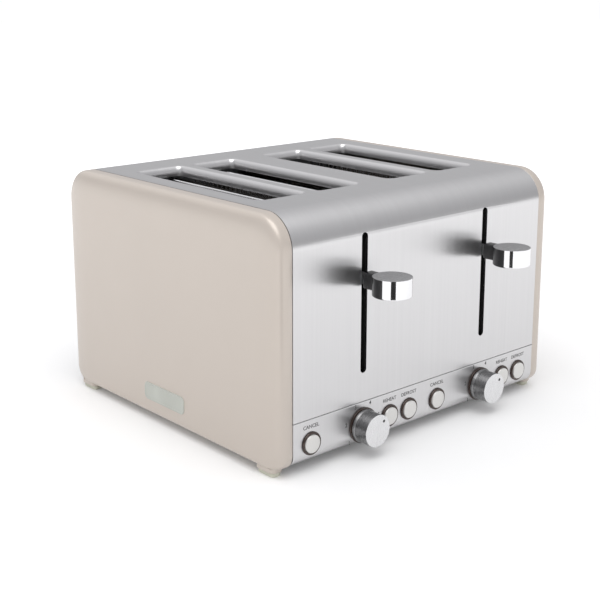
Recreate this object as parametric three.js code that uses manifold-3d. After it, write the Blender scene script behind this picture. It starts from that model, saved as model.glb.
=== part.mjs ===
// Four-slice pop-up toaster with two independent sides. Millimetres, +Z up.
// The front (levers and dials) faces -Y; the origin is the centre of the
// bounding box on the surface that the toaster stands on.
import * as THREE from 'three';
import { mergeVertices } from 'three/addons/utils/BufferGeometryUtils.js';
import Module from 'manifold-3d';

const wasm = await Module();
wasm.setup();

// ---- driving dimensions ---------------------------------------------------
const BODY_W = 290; // across the two end caps
const BODY_D = 265; // front skin to back skin, without levers and tray pulls
const BODY_H = 185; // floor to the flat top
const SKIRT_Z = 7; // underside of the strips and the base
const FIT = 0.3; // gap kept between pieces that touch

const CAP_BAND = 13.6; // width of the moulded end cap at the front and top
const CAP_WALL = 2.6;
const CAP_INSET_Y = 27; // where the flat of the cap starts behind its front
const CAP_INSET_TOP = 20;
const CAP_INSET_BOTTOM = 6;
const CAP_LOW_Z = 5.6; // underside of the caps at the seam
const CAP_LOW_R = 11; // bottom corners of the caps at the seam
const CAP_SQUARE = 6; // how squarely the cap turns: 2 is an ellipse, more is squarer
const BEND_R = 25; // outside radius of the bent steel skin
const LOW_R = 9; // bottom corners of the strips
const FACE_R = { top: 8, lowFront: 6, lowBack: 16 }; // corners of the cap's flat

const SKIN_T = 1.2; // steel skin
const PANEL_TOP = 39.5; // top edge of the control strip
const PANEL_T = 2;
const STRIP_RETURN = LOW_R + 3; // how far the strips turn in underneath

const PAIR_X = 64.5; // centre line of each side: lever, dial and two slots
const SLOT_PITCH = 27.3; // slot centre from its pair's centre line
const SLOT_W = 41; // clear width inside the turned-down edge
const SLOT_L = 152;
const SLOT_Y = BODY_D / 2; // slot centre from the front skin
const SLOT_R = 4;
const ROLL_W = 3; // how far the edge flares out to the top
const ROLL_H = 5;
const LIP_H = 8; // depth of the turned-down edge

const LEVER_SLOT_W = 5.8;
const LEVER_SLOT_LOW = 61.4;
const LEVER_SLOT_HIGH = 164;
const LEVER_Z = 131; // lever centre at rest
const LEVER_R = 13.9;
const LEVER_T = 13.5;
const LEVER_REACH = 27; // disc centre in front of the skin
const BLADE_W = 3.6;
const BLADE_H = 8;

const CONTROL_Z = 21.7; // dials and buttons
const DIAL_R = 12;
const DIAL_REACH = 15.6;
const STEM_R = 4;
const BUTTON_OFFSETS = [-50, 27.5, 48];
const BUTTON_NAMES = ['cancel', 'reheat', 'defrost'];
const BUTTON_R = 6.6;
const BUTTON_PROUD = 2.6;
const RING_WALL = 1.6; // dark ring round a button
const RING_R = BUTTON_R + FIT + RING_WALL;
const RING_T = 1.2;

const CARRIAGE_Y = 18; // front face of the carriage plate
const ROD_R = 2.5;
const ROD_OFFSET = 18; // guide rod to the right of the pair's centre line
const ROD_Y = 14;
const RACK_Z = 97; // middle of the bread racks at rest
const TRAVEL_DOWN = 62;
const TRAVEL_UP = 24;
const FRONT_WALL_Y = 34; // sheet walls of the heating chamber
const BACK_WALL_Y = BODY_D - 35;
const WALL_TOP = BODY_H - 9;
const WALL_T = 1;
const GUARD_X = 13.5; // wire guard centre from the slot centre
const WIRE_R = 0.9;
const WIRE_COUNT = 8;
const BOARD_X = 21; // heating board from the slot centre
const BOARD_T = 1;

const BASE_T = 2;
const TRAY_Z = 16.5; // underside of the crumb trays
const TRAY_T = 1;
const TRAY_H = 6.5;
const TRAY_GAP = 10; // tray side from the middle of the toaster
const TRAY_W = 108;
const TRAY_PULL = 5; // how far a tray's pull stands out at the back
const FOOT_X = BODY_W / 2 - 7.6; // foot centre from the middle
const FOOT_Y = 18; // foot centre from the front or back skin
const FOOT_W = 9;
const FOOT_L = 18;
const FOOT_T = 3.2;
const SEAT_RIM = 1; // how far a cap's foot seat stands out round the foot

const HALF = BODY_W / 2;
const SKIN_X = HALF - CAP_BAND; // seam between skin and cap
const BACK = BODY_D + TRAY_PULL;
const FRONT = -(LEVER_REACH + LEVER_R);
const WALL_X = SKIN_X - 5.4; // half width of the sheet walls

// ---- materials ------------------------------------------------------------
function finish(color, roughness, metalness) {
  return new THREE.MeshStandardMaterial({ color, roughness, metalness });
}
const cream = finish(0xcdc3ba, 0.45, 0);
const brushed = finish(0xc9c9cb, 0.35, 1);
const chrome = finish(0xd8d8da, 0.12, 1);
const bronze = finish(0x4a3a34, 0.35, 0.2);
const buttonFace = finish(0xdcdad8, 0.3, 0.6);
const black = finish(0x141414, 0.6, 0);
const galvanised = finish(0xa9abac, 0.45, 0.9);
const wire = finish(0xb8b8ba, 0.3, 1);
const mica = finish(0xb59f7a, 0.7, 0);
const board = finish(0x2f6b45, 0.6, 0);
const copper = finish(0x8a4b2a, 0.4, 0.6);
const plaque = finish(0xdad6cf, 0.3, 0.4);
const foot = finish(0xdcdccb, 0.7, 0);

// ---- solids ---------------------------------------------------------------
function solid(geometry) {
  const g = geometry.clone();
  g.deleteAttribute('normal');
  g.deleteAttribute('uv');
  const merged = mergeVertices(g, 1e-4);
  return new wasm.Manifold(new wasm.Mesh({
    numProp: 3,
    vertProperties: new Float32Array(merged.attributes.position.array),
    triVerts: new Uint32Array(merged.index.array),
  }));
}

function geometryOf(body) {
  const mesh = body.getMesh();
  const g = new THREE.BufferGeometry();
  g.setAttribute('position', new THREE.BufferAttribute(new Float32Array(mesh.vertProperties), 3));
  g.setIndex(new THREE.BufferAttribute(new Uint32Array(mesh.triVerts), 1));
  g.computeVertexNormals();
  return g;
}

function join(pieces) {
  return pieces.reduce((whole, piece) => whole.add(piece));
}

function cut(body, tools) {
  return tools.reduce((rest, tool) => rest.subtract(tool), body);
}

function box(x0, x1, y0, y1, z0, z1) {
  const g = new THREE.BoxGeometry(x1 - x0, y1 - y0, z1 - z0);
  g.translate((x0 + x1) / 2, (y0 + y1) / 2, (z0 + z1) / 2);
  return solid(g);
}

// Cylinder between a and b along one axis, centred on (u, v) in the other two.
function rod(axis, r, a, b, u, v, sides = 24) {
  const g = new THREE.CylinderGeometry(r, r, b - a, sides);
  const mid = (a + b) / 2;
  if (axis === 'x') {
    g.rotateZ(-Math.PI / 2).translate(mid, u, v);
  } else if (axis === 'y') {
    g.translate(u, mid, v);
  } else {
    g.rotateX(Math.PI / 2).translate(u, v, mid);
  }
  return solid(g);
}

// Rounded rectangle; radii run low-left, low-right, high-right, high-left.
function rounded(u0, v0, u1, v1, radii) {
  const [a, b, c, d] = Array.isArray(radii) ? radii : [radii, radii, radii, radii];
  const s = new THREE.Shape();
  s.moveTo(u0 + a, v0);
  s.lineTo(u1 - b, v0);
  s.absarc(u1 - b, v0 + b, b, -Math.PI / 2, 0, false);
  s.lineTo(u1, v1 - c);
  s.absarc(u1 - c, v1 - c, c, 0, Math.PI / 2, false);
  s.lineTo(u0 + d, v1);
  s.absarc(u0 + d, v1 - d, d, Math.PI / 2, Math.PI, false);
  s.lineTo(u0, v0 + a);
  s.absarc(u0 + a, v0 + a, a, Math.PI, Math.PI * 1.5, false);
  return s;
}

// Straight prism of a shape from a to b. A shape for 'x' is drawn in Y, Z;
// one for 'y' in X, Z; one for 'z' in X, Y.
function prism(axis, shape, a, b, curveSegments = 3) {
  const g = new THREE.ExtrudeGeometry(shape, { depth: b - a, bevelEnabled: false, curveSegments });
  if (axis === 'x') {
    g.applyMatrix4(new THREE.Matrix4().makeBasis(
      new THREE.Vector3(0, 1, 0),
      new THREE.Vector3(0, 0, 1),
      new THREE.Vector3(1, 0, 0),
    ));
    g.translate(a, 0, 0);
  } else if (axis === 'y') {
    g.rotateX(Math.PI / 2).translate(0, b, 0);
  } else {
    g.translate(0, 0, a);
  }
  return solid(g);
}

// Solid through a list of { at, shape } sections along one axis. All sections
// are drawn counter-clockwise with the same number of corners.
function loft(axis, sections, segments = 3) {
  const rings = sections.map(({ shape }) => {
    const points = shape.getPoints(segments);
    return points.filter((p, i) => i === 0 || p.distanceTo(points[i - 1]) > 1e-6)
      .filter((p, i, all) => i === 0 || i < all.length - 1 || p.distanceTo(all[0]) > 1e-6);
  });
  const count = rings[0].length;
  const positions = [];
  rings.forEach((ring, level) => {
    const at = sections[level].at;
    ring.forEach((p) => {
      positions.push(...(axis === 'x' ? [at, p.x, p.y] : [p.x, p.y, at]));
    });
  });
  const index = [];
  for (let level = 0; level + 1 < rings.length; level += 1) {
    for (let i = 0; i < count; i += 1) {
      const j = (i + 1) % count;
      const a = level * count + i;
      const b = level * count + j;
      index.push(a, b, b + count, a, b + count, a + count);
    }
  }
  const last = (rings.length - 1) * count;
  THREE.ShapeUtils.triangulateShape(rings[0], []).forEach(([a, b, c]) => index.push(c, b, a));
  THREE.ShapeUtils.triangulateShape(rings.at(-1), [])
    .forEach(([a, b, c]) => index.push(last + a, last + b, last + c));
  const g = new THREE.BufferGeometry();
  g.setAttribute('position', new THREE.Float32BufferAttribute(positions, 3));
  g.setIndex(index);
  return solid(g);
}

// ---- scene graph ----------------------------------------------------------
const toaster = new THREE.Group();
const chassis = new THREE.Group();
chassis.position.y = -(FRONT + BACK) / 2;
toaster.add(chassis);

function place(parent, name, geometry, material, x = 0, y = 0, z = 0) {
  const mesh = new THREE.Mesh(geometry, material);
  mesh.name = name;
  mesh.position.set(x, y, z);
  parent.add(mesh);
  return mesh;
}

const SIDES = [['left', -PAIR_X], ['right', PAIR_X]];
const SLOTS = [['left', 'outer', -PAIR_X - SLOT_PITCH], ['left', 'inner', -PAIR_X + SLOT_PITCH],
  ['right', 'inner', PAIR_X - SLOT_PITCH], ['right', 'outer', PAIR_X + SLOT_PITCH]];

// ---- outside --------------------------------------------------------------
function slotShape(grow) {
  const w = SLOT_W / 2 + grow;
  const l = SLOT_L / 2 + grow;
  return rounded(-w, SLOT_Y - l, w, SLOT_Y + l, SLOT_R + grow);
}

function slotFunnel(grow, low) {
  const high = BODY_H + (grow > 0 ? 0 : 1);
  return loft('z', [
    { at: low, shape: slotShape(grow) },
    { at: BODY_H - ROLL_H, shape: slotShape(grow) },
    { at: BODY_H - ROLL_H * 0.35, shape: slotShape(grow + ROLL_W * 0.28) },
    { at: BODY_H, shape: slotShape(grow + ROLL_W) },
    { at: high + 0.01, shape: slotShape(grow + ROLL_W) },
  ], 2);
}

function skinProfile(t) {
  const s = new THREE.Shape();
  const r = BEND_R - t;
  const bottom = PANEL_TOP + FIT;
  s.moveTo(t, bottom);
  s.lineTo(t, BODY_H - BEND_R);
  s.absarc(BEND_R, BODY_H - BEND_R, r, Math.PI, Math.PI / 2, true);
  s.lineTo(BODY_D - BEND_R, BODY_H - t);
  s.absarc(BODY_D - BEND_R, BODY_H - BEND_R, r, Math.PI / 2, 0, true);
  s.lineTo(BODY_D - t, bottom);
  return s.getPoints(5);
}

function makeSkin() {
  const outer = skinProfile(0);
  const inner = skinProfile(SKIN_T).reverse();
  const half = SKIN_X - FIT;
  let skin = prism('x', new THREE.Shape([...outer, ...inner]), -half, half);
  SLOTS.forEach(([, , x]) => {
    skin = skin.add(slotFunnel(SKIN_T, BODY_H - LIP_H).intersect(
      box(-half, half, 0, BODY_D, 0, BODY_H),
    ).translate(x, 0, 0));
  });
  const tools = SLOTS.map(([, , x]) => slotFunnel(0, BODY_H - LIP_H - 1).translate(x, 0, 0));
  SIDES.forEach(([, x]) => {
    const w = LEVER_SLOT_W / 2;
    const hole = rounded(x - w, LEVER_SLOT_LOW, x + w, LEVER_SLOT_HIGH, w - 0.01);
    tools.push(prism('y', hole, -1, SKIN_T + 1, 2));
  });
  return cut(skin, tools);
}

function capSections(wall) {
  const depth = CAP_BAND - wall;
  const radius = (seam, face, s) => Math.max(seam - wall + (face - seam) * s, 1.2);
  return [0, 0.02, 0.08, 0.2, 0.45, 1].map((s) => {
    const iy = wall + (CAP_INSET_Y - wall) * s;
    const top = wall + (CAP_INSET_TOP - wall) * s;
    const low = wall + (CAP_INSET_BOTTOM - wall) * s;
    return {
      at: depth * (1 - (1 - s) ** 2) ** (1 / CAP_SQUARE),
      shape: rounded(iy, CAP_LOW_Z + low, BODY_D - iy, BODY_H - top, [
        radius(CAP_LOW_R, FACE_R.lowFront, s), radius(CAP_LOW_R, FACE_R.lowBack, s),
        radius(BEND_R, FACE_R.top, s), radius(BEND_R, FACE_R.top, s)]),
    };
  });
}

// Right-hand cap, seam at x = 0, closed side towards +x.
function makeCap() {
  const inner = capSections(CAP_WALL);
  inner.unshift({ at: -1, shape: inner[0].shape });
  let cap = loft('x', capSections(0)).subtract(loft('x', inner));
  const bosses = [[40, 150], [BODY_D - 40, 150], [40, 36], [BODY_D - 40, 36]];
  bosses.forEach(([y, z]) => {
    cap = cap.add(rod('x', 4.5, 0.5, CAP_BAND - 1, y, z, 12));
    cap = cap.subtract(rod('x', 1.5, -1, CAP_BAND - CAP_WALL, y, z, 8));
  });
  [FOOT_Y, BODY_D - FOOT_Y].forEach((y) => {
    const seat = footShape(SEAT_RIM, FOOT_X - SKIN_X, y);
    cap = cap.add(prism('z', seat, FOOT_T + FIT, CAP_LOW_Z + CAP_WALL / 2));
  });
  return cap;
}

function mirrored(body) {
  return body.mirror([1, 0, 0]);
}

const PLAQUE = { y: SLOT_Y, z: 25, l: 51, h: 14, r: 4, t: 1.1 };

function plaqueShape(grow) {
  const l = PLAQUE.l / 2 + grow;
  const h = PLAQUE.h / 2 + grow;
  return rounded(PLAQUE.y - l, PLAQUE.z - h, PLAQUE.y + l, PLAQUE.z + h, PLAQUE.r + grow);
}

// Sheet strip below the skin, bent under at the bottom and back at the top.
function makeStrip() {
  const half = SKIN_X - FIT;
  const t = PANEL_T;
  const outline = rounded(0, SKIRT_Z, 100, 100, [LOW_R, 1, 1, 1]);
  const inside = rounded(t, SKIRT_Z + t, 101, 101, [LOW_R - t, 1, 1, 1]);
  return prism('x', outline, -half, half)
    .subtract(prism('x', inside, -half - 1, half + 1))
    .intersect(box(-half, half, -1, STRIP_RETURN, 0, PANEL_TOP))
    .add(box(-half, half, 0, 5.5, PANEL_TOP - 1.5, PANEL_TOP));
}

function makeControlPanel() {
  let panel = makeStrip();
  SIDES.forEach(([, x]) => {
    panel = panel.subtract(rod('y', STEM_R + 1, -1, PANEL_T + 1, x, CONTROL_Z, 16));
    BUTTON_OFFSETS.forEach((dx) => {
      panel = panel.subtract(rod('y', RING_R - 0.7, -1, PANEL_T + 1, x + dx, CONTROL_Z, 20));
    });
  });
  return panel;
}

const TRAY_SIDES = [['left', -TRAY_GAP - TRAY_W], ['right', TRAY_GAP]];
const GLAND = { z: 29, bore: 3.4, tube: 6, flange: 7.5 };

function makeRearPanel() {
  const y0 = BODY_D - PANEL_T;
  const tools = TRAY_SIDES.map(([, x]) => box(
    x - 0.8, x + TRAY_W + 0.8, y0 - 1, BODY_D + 1, TRAY_Z - 0.8, TRAY_Z + TRAY_H + 0.8));
  tools.push(rod('y', GLAND.tube + FIT, y0 - 1, BODY_D + 1, 0, GLAND.z, 20));
  return cut(makeStrip().mirror([0, 1, 0]).translate(0, BODY_D, 0), tools);
}

function makeGland() {
  return join([
    rod('y', GLAND.tube, BODY_D - 10, BODY_D + 1, 0, GLAND.z, 20),
    rod('y', GLAND.flange, BODY_D + FIT, BODY_D + 3, 0, GLAND.z, 20),
  ]).subtract(rod('y', GLAND.bore, BODY_D - 11, BODY_D + 4, 0, GLAND.z, 16));
}

function makeBase() {
  const half = SKIN_X - FIT;
  const y0 = STRIP_RETURN + FIT;
  const y1 = BODY_D - STRIP_RETURN - FIT;
  const pieces = [box(-half, half, y0, y1, SKIRT_Z, SKIRT_Z + BASE_T)];
  TRAY_SIDES.forEach(([, x]) => {
    [0.12, 0.88].forEach((share) => {
      const rail = x + TRAY_W * share;
      pieces.push(box(rail - 1, rail + 1, 42, y1 - 2, SKIRT_Z + 1, TRAY_Z - FIT));
    });
  });
  return join(pieces);
}

function footShape(grow, x = 0, y = 0) {
  const w = FOOT_W / 2 + grow;
  const l = FOOT_L / 2 + grow;
  return rounded(x - w, y - l, x + w, y + l, 3.5 + grow);
}

function makeFoot() {
  const pad = (at, grow) => ({ at, shape: footShape(grow) });
  return loft('z', [pad(0, -1), pad(0.8, -0.2), pad(FOOT_T, 0)], 2);
}

function makeTray() {
  const y0 = FRONT_WALL_Y + 5;
  const y1 = BODY_D + FIT;
  const tub = box(0, TRAY_W, y0, y1, TRAY_Z, TRAY_Z + TRAY_H).subtract(
    box(TRAY_T, TRAY_W - TRAY_T, y0 + TRAY_T, y1 - PANEL_T, TRAY_Z + TRAY_T, TRAY_Z + TRAY_H + 1));
  const plate = box(-2, TRAY_W + 2, y1, y1 + 1.8, TRAY_Z - 2, TRAY_Z + TRAY_H + 2);
  const pull = box(TRAY_W / 2 - 22, TRAY_W / 2 + 22, y1 + 1, BACK, TRAY_Z + 1, TRAY_Z + 3);
  return join([tub, plate, pull]);
}

// ---- controls -------------------------------------------------------------
function makeHandle() {
  const edge = 0.6;
  const profile = [[0, 0], [LEVER_R - edge, 0], [LEVER_R, edge], [LEVER_R, LEVER_T - edge],
    [LEVER_R - edge, LEVER_T], [0, LEVER_T]].map(([r, y]) => new THREE.Vector2(r, y));
  const disc = new THREE.LatheGeometry(profile, 32);
  disc.rotateX(Math.PI / 2).translate(0, -LEVER_REACH, LEVER_Z - LEVER_T / 2);
  const neck = box(-4.5, 4.5, -LEVER_REACH + 8, -2.5, LEVER_Z - 5.8, LEVER_Z + 5.8);
  const w = BLADE_W / 2 + FIT;
  const h = BLADE_H / 2 + FIT;
  const socket = box(-w, w, -LEVER_REACH + 14 - FIT, 0, LEVER_Z - h, LEVER_Z + h);
  return solid(disc).add(neck).subtract(socket);
}

function makeCarriage() {
  const reach = SLOT_PITCH + 5;
  const hub = ROD_R + 3;
  const back = CARRIAGE_Y + 2;
  return cut(join([
    box(-reach, reach, CARRIAGE_Y, back, RACK_Z + 16, LEVER_Z + 10),
    box(-reach, -SLOT_PITCH + 5, CARRIAGE_Y, back, RACK_Z - 5, RACK_Z + 17),
    box(SLOT_PITCH - 5, reach, CARRIAGE_Y, back, RACK_Z - 5, RACK_Z + 17),
    box(ROD_OFFSET - hub, ROD_OFFSET + hub, ROD_Y - hub, CARRIAGE_Y + 1, LEVER_Z - 12, LEVER_Z + 8),
    box(-BLADE_W / 2, BLADE_W / 2, -LEVER_REACH + 14, CARRIAGE_Y + 1,
      LEVER_Z - BLADE_H / 2, LEVER_Z + BLADE_H / 2),
    box(-7, 7, 8, CARRIAGE_Y + 1, RACK_Z + 16, RACK_Z + 22),
  ]), [
    rod('z', ROD_R + FIT, LEVER_Z - 13, LEVER_Z + 9, ROD_OFFSET, ROD_Y),
  ]);
}

function makeRack() {
  const y0 = CARRIAGE_Y + 2 + FIT;
  const y1 = BACK_WALL_Y + 7;
  const pieces = [box(-0.75, 0.75, y0, y1, -4, 4)];
  const count = 7;
  for (let i = 0; i < count; i += 1) {
    const y = SLOT_Y + (i - (count - 1) / 2) * 22;
    pieces.push(box(-9, 9, y - 1, y + 1, 1.5, 4));
  }
  return join(pieces);
}

function makeDial() {
  const edge = 0.7;
  const base = -RING_T - 2 * FIT;
  const profile = [[0, -DIAL_REACH], [DIAL_R - edge, -DIAL_REACH], [DIAL_R, -DIAL_REACH + edge],
    [DIAL_R, base - 2.4], [DIAL_R + 0.5, base - 1.9], [DIAL_R + 0.5, base],
    [STEM_R, base], [STEM_R, 15], [0, 15]].map(([r, y]) => new THREE.Vector2(r, y));
  const mark = 8.5 * Math.SQRT1_2;
  return solid(new THREE.LatheGeometry(profile, 28)).subtract(
    rod('y', 1, -DIAL_REACH - 1, -DIAL_REACH + 0.6, mark, mark, 8));
}

function ringOf(outer, inner, a, b, sides) {
  return rod('y', outer, a, b, 0, 0, sides).subtract(rod('y', inner, a - 1, b + 1, 0, 0, sides));
}

function makeCollar() {
  return ringOf(DIAL_R + 1.2, STEM_R + FIT * 2, -RING_T - FIT, -FIT, 28);
}

function makePot() {
  return rod('y', 8, 8, 21.7, 0, 0, 16).subtract(rod('y', STEM_R + FIT, 7, 16, 0, 0, 16));
}

function makeButton() {
  return join([
    rod('y', BUTTON_R, -BUTTON_PROUD, 4, 0, 0, 20),
    rod('y', 2.5, 3, 17.2, 0, 0, 8),
  ]);
}

function makeButtonRing() {
  const inner = BUTTON_R + FIT;
  const sleeve = RING_R - 0.7 - FIT;
  const profile = [[inner, -RING_T - FIT], [RING_R, -RING_T - FIT], [RING_R, -FIT],
    [sleeve, -FIT], [sleeve, 8], [inner, 8], [inner, -RING_T - FIT]];
  return solid(new THREE.LatheGeometry(profile.map(([r, y]) => new THREE.Vector2(r, y)), 20));
}

function makeCircuitBoard() {
  const top = RACK_Z - TRAVEL_DOWN - 5.5; // clear of the racks at their lowest
  const pieces = [box(-60.5, 61.5, 22, 23.6, SKIRT_Z + BASE_T + FIT, top)];
  BUTTON_OFFSETS.forEach((dx) => {
    pieces.push(box(dx - 3, dx + 3, 20, 22.5, CONTROL_Z - 3, CONTROL_Z + 3));
  });
  return join(pieces);
}

// ---- inside ---------------------------------------------------------------
function makeMagnet() {
  return join([
    rod('z', 6.5, 36, 48, 0, 13, 18),
    box(-7, 7, 6.5, 19.5, 34, 36.5),
    rod('z', 3, 47, RACK_Z + 16 - TRAVEL_DOWN - 0.6, 0, 13, 14),
  ]);
}

function makeGuideRod() {
  return rod('z', ROD_R, SKIRT_Z + BASE_T + FIT, WALL_TOP - 2, 0, 0, 16);
}

function makeSpring() {
  const low = LEVER_Z + 10 + FIT + 0.7;
  const high = WALL_TOP - 5;
  const turns = 6;
  const perTurn = 8;
  const points = [];
  for (let i = 0; i <= turns * perTurn; i += 1) {
    const turn = (i / perTurn) * Math.PI * 2;
    const z = low + (high - low) * (i / (turns * perTurn));
    points.push(new THREE.Vector3(3.6 * Math.cos(turn), 3.6 * Math.sin(turn), z));
  }
  const section = new THREE.Shape(new THREE.EllipseCurve(0, 0, 0.6, 0.6).getPoints(4).slice(0, 4));
  return new THREE.ExtrudeGeometry(section, {
    steps: turns * perTurn,
    bevelEnabled: false,
    extrudePath: new THREE.CatmullRomCurve3(points),
  });
}

function makeFrontWall() {
  const tools = SLOTS.map(([, , x]) => box(
    x - 2.5, x + 2.5, FRONT_WALL_Y - 1, FRONT_WALL_Y + 2,
    RACK_Z - TRAVEL_DOWN - 7, RACK_Z + TRAVEL_UP + 7));
  const tabs = SIDES.map(([, x]) => box(
    x - ROD_OFFSET - 5, x - ROD_OFFSET + 5, 9, FRONT_WALL_Y + 0.5, WALL_TOP - 4, WALL_TOP - 2.8));
  return cut(join([
    box(-WALL_X, WALL_X, FRONT_WALL_Y, FRONT_WALL_Y + WALL_T, SKIRT_Z + BASE_T + FIT, WALL_TOP),
    ...tabs,
  ]), tools);
}

function makeBackWall() {
  const tools = SLOTS.map(([, , x]) => box(
    x - 2.5, x + 2.5, BACK_WALL_Y - 1, BACK_WALL_Y + 2,
    RACK_Z - TRAVEL_DOWN - 7, RACK_Z + TRAVEL_UP + 7));
  TRAY_SIDES.forEach(([, x]) => {
    tools.push(box(x - 1, x + TRAY_W + 1, BACK_WALL_Y - 1, BACK_WALL_Y + 2, 0, TRAY_Z + TRAY_H + 1));
  });
  const y1 = BACK_WALL_Y + WALL_T;
  return cut(box(-WALL_X, WALL_X, BACK_WALL_Y, y1, SKIRT_Z + BASE_T + FIT, WALL_TOP), tools);
}

function makeGuard() {
  const y0 = SLOT_Y - SLOT_L / 2 - 8;
  const y1 = SLOT_Y + SLOT_L / 2 + 8;
  const top = BODY_H - LIP_H - 3;
  const low = 40;
  const pieces = [];
  [-GUARD_X, GUARD_X].forEach((x) => {
    pieces.push(rod('y', 1.3, y0 - 1, y1 + 1, x, top, 5));
    pieces.push(rod('y', 1.3, y0 - 1, y1 + 1, x, low, 5));
    for (let i = 0; i < WIRE_COUNT; i += 1) {
      const y = y0 + 4 + ((y1 - y0 - 8) * i) / (WIRE_COUNT - 1);
      pieces.push(rod('z', WIRE_R, low, top, x, y, 4));
    }
  });
  [y0, y1].forEach((y) => pieces.push(rod('x', 1.1, -GUARD_X, GUARD_X, y, top, 6)));
  return join(pieces);
}

function makeHeatingBoard() {
  const y0 = FRONT_WALL_Y + WALL_T + 0.5;
  return box(-BOARD_T / 2, BOARD_T / 2, y0, BACK_WALL_Y - 0.5, 32, WALL_TOP - 4);
}

// ---- assembly -------------------------------------------------------------
place(chassis, 'steel_skin', geometryOf(makeSkin()), brushed);
place(chassis, 'control_panel', geometryOf(makeControlPanel()), brushed);
place(chassis, 'rear_panel', geometryOf(makeRearPanel()), black);
place(chassis, 'base_plate', geometryOf(makeBase()), black);

const rightCap = makeCap();
const pocket = prism('x', plaqueShape(FIT), CAP_BAND - PLAQUE.t - FIT, CAP_BAND + 1);
place(chassis, 'end_cap_right', geometryOf(rightCap), cream, SKIN_X);
place(chassis, 'end_cap_left', geometryOf(mirrored(rightCap.subtract(pocket))), cream, -SKIN_X);
place(chassis, 'side_plaque', geometryOf(prism('x', plaqueShape(0), -HALF, -HALF + PLAQUE.t)), plaque);

const footGeometry = geometryOf(makeFoot());
[['front', FOOT_Y], ['back', BODY_D - FOOT_Y]].forEach(([row, y]) => {
  [['left', -FOOT_X], ['right', FOOT_X]].forEach(([side, x]) => {
    place(chassis, `foot_${row}_${side}`, footGeometry, foot, x, y);
  });
});

const dialGeometry = geometryOf(makeDial());
const collarGeometry = geometryOf(makeCollar());
const potGeometry = geometryOf(makePot());
const handleGeometry = geometryOf(makeHandle());
const carriageGeometry = geometryOf(makeCarriage());
const buttonGeometry = geometryOf(makeButton());
const ringGeometry = geometryOf(makeButtonRing());
const circuitGeometry = geometryOf(makeCircuitBoard());
const magnetGeometry = geometryOf(makeMagnet());
const guideGeometry = geometryOf(makeGuideRod());
const springGeometry = makeSpring();
const heatingGeometry = geometryOf(makeHeatingBoard());

SIDES.forEach(([side, x]) => {
  const half = new THREE.Group();
  half.position.x = x;
  chassis.add(half);
  place(half, `lever_handle_${side}`, handleGeometry, chrome);
  place(half, `carriage_${side}`, carriageGeometry, galvanised);
  place(half, `dial_${side}`, dialGeometry, chrome, 0, 0, CONTROL_Z);
  place(half, `dial_collar_${side}`, collarGeometry, bronze, 0, 0, CONTROL_Z);
  place(half, `browning_pot_${side}`, potGeometry, black, 0, 0, CONTROL_Z);
  BUTTON_OFFSETS.forEach((dx, i) => {
    const name = `${BUTTON_NAMES[i]}_${side}`;
    place(half, `button_${name}`, buttonGeometry, buttonFace, dx, 0, CONTROL_Z);
    place(half, `button_ring_${name}`, ringGeometry, bronze, dx, 0, CONTROL_Z);
  });
  place(half, `circuit_board_${side}`, circuitGeometry, board);
  place(half, `latch_magnet_${side}`, magnetGeometry, copper);
  place(half, `guide_rod_${side}`, guideGeometry, chrome, ROD_OFFSET, ROD_Y);
  place(half, `return_spring_${side}`, springGeometry, wire, -ROD_OFFSET, ROD_Y);
  [['outer', -1], ['middle', 0], ['inner', 1]].forEach(([which, step]) => {
    const out = (side === 'left' ? 1 : -1) * step * (SLOT_PITCH + BOARD_X);
    place(half, `heating_board_${side}_${which}`, heatingGeometry, mica, out);
  });
});

const rackGeometry = geometryOf(makeRack());
const guardGeometry = geometryOf(makeGuard());
SLOTS.forEach(([side, which, x]) => {
  place(chassis, `bread_rack_${side}_${which}`, rackGeometry, galvanised, x, 0, RACK_Z);
  place(chassis, `bread_guard_${side}_${which}`, guardGeometry, wire, x);
});

place(chassis, 'front_wall', geometryOf(makeFrontWall()), galvanised);
place(chassis, 'back_wall', geometryOf(makeBackWall()), galvanised);

const trayGeometry = geometryOf(makeTray());
TRAY_SIDES.forEach(([side, x]) => place(chassis, `crumb_tray_${side}`, trayGeometry, galvanised, x));
place(chassis, 'cord_gland', geometryOf(makeGland()), black);

export default toaster;
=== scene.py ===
"""Looks of a four-slice pop-up toaster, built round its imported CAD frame.

Everything is in metres in the frame of the CAD part: +X right, +Y from the
levers to the back, +Z up from the worktop.
"""
import math

import bmesh
import bpy
from bpy.props import FloatProperty, FloatVectorProperty, IntProperty, PointerProperty
from mathutils import Matrix, Vector


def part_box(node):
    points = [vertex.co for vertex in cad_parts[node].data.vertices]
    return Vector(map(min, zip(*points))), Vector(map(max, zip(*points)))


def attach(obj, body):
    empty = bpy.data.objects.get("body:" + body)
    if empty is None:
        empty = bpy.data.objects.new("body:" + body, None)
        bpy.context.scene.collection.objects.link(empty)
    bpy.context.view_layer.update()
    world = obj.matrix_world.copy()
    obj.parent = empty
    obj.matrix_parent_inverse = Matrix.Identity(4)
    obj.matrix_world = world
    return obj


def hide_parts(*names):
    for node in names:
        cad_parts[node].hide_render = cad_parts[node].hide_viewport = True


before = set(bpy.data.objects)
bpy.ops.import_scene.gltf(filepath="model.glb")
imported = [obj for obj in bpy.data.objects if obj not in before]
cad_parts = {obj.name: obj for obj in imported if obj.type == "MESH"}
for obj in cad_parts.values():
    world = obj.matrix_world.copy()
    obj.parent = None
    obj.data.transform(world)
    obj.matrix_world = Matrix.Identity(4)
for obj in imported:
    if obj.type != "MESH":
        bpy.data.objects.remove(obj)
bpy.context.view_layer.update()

bl_info = {
    "name": "Pop-up Toaster",
    "version": (1, 0, 0),
    "blender": (4, 5, 0),
    "location": "View3D > Sidebar > Toaster",
    "description": "Builds a four-slice pop-up toaster piece by piece",
    "category": "Add Mesh",
}

MM = 0.001
WELD = 2e-6  # points nearer than this become one

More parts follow.
